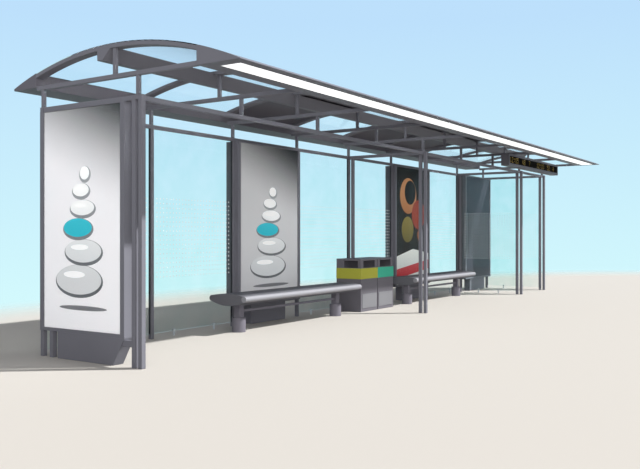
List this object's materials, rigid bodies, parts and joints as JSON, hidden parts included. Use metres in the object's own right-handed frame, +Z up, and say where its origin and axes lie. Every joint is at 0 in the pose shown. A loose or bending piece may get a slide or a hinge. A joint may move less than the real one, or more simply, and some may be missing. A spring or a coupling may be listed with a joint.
{
  "type": "bus shelter",
  "caption": "Open bus shelter of eight bays with a bowed roof, glazed back wall, light boxes, benches, bin and departure sign.",
  "frame": {"origin": "on the ground under the middle of the roof: the centre of the bounding box in X and Y, at its lowest Z", "axes": "+X along the shelter, away from the end with the large light box; +Y towards the glazed back wall, so that -Y is the street side; +Z up"},
  "size_m": [12.06, 3.04, 3.048],
  "materials": {
    "frame_paint": "satin",
    "roof_panel_paint": "satin",
    "roof_sheet": "gloss",
    "wall_glass": "gloss",
    "cover_glass": "gloss",
    "poster_print": "satin",
    "lamp_cover": "matte",
    "clamp_steel": "satin",
    "seat_paint": "satin",
    "seat_steel": "brushed",
    "bin_paint": "satin",
    "bin_door_paint": "satin",
    "band_olive": "satin",
    "band_green": "satin",
    "display_panel": "gloss"
  },
  "bodies": {
    "root": {"front_posts": "frame_paint", "back_posts": "frame_paint", "front_rail": "frame_paint", "back_rail": "frame_paint", "cross_rails": "frame_paint", "front_struts": "frame_paint", "back_struts": "frame_paint", "roof_frame_1": "frame_paint", "roof_frame_2": "frame_paint", "roof_frame_3": "frame_paint", "roof_frame_4": "frame_paint", "roof_frame_5": "frame_paint", "roof_frame_6": "frame_paint", "roof_frame_7": "frame_paint", "roof_frame_8": "frame_paint", "roof_frame_9": "frame_paint", "ridge_beam": "frame_paint", "edge_beam_front": "frame_paint", "edge_beam_back": "frame_paint", "light_strip": "lamp_cover", "roof_sheets_clear": "roof_sheet", "roof_sheets_solid": "roof_panel_paint", "back_wall_glass": "wall_glass", "screen_glass": "wall_glass", "end_wall_glass": "wall_glass", "glass_feet": "clamp_steel", "light_boxes_wall": "frame_paint", "light_box_end": "frame_paint", "posters_wall": "poster_print", "posters_end": "poster_print", "light_box_covers": "cover_glass", "plinths_wall": "frame_paint", "plinth_end": "frame_paint", "light_box_supports": "frame_paint", "bench_seats": "seat_paint", "bench_noses": "seat_steel", "bench_pedestals": "seat_paint", "bench_stretchers": "seat_paint", "litter_bin_cabinet": "bin_paint", "litter_bin_band_left": "band_olive", "litter_bin_band_right": "band_green", "litter_bin_doors": "bin_door_paint", "sign_case": "frame_paint", "sign_display": "display_panel", "sign_hangers": "frame_paint"}
  },
  "joints": []
}
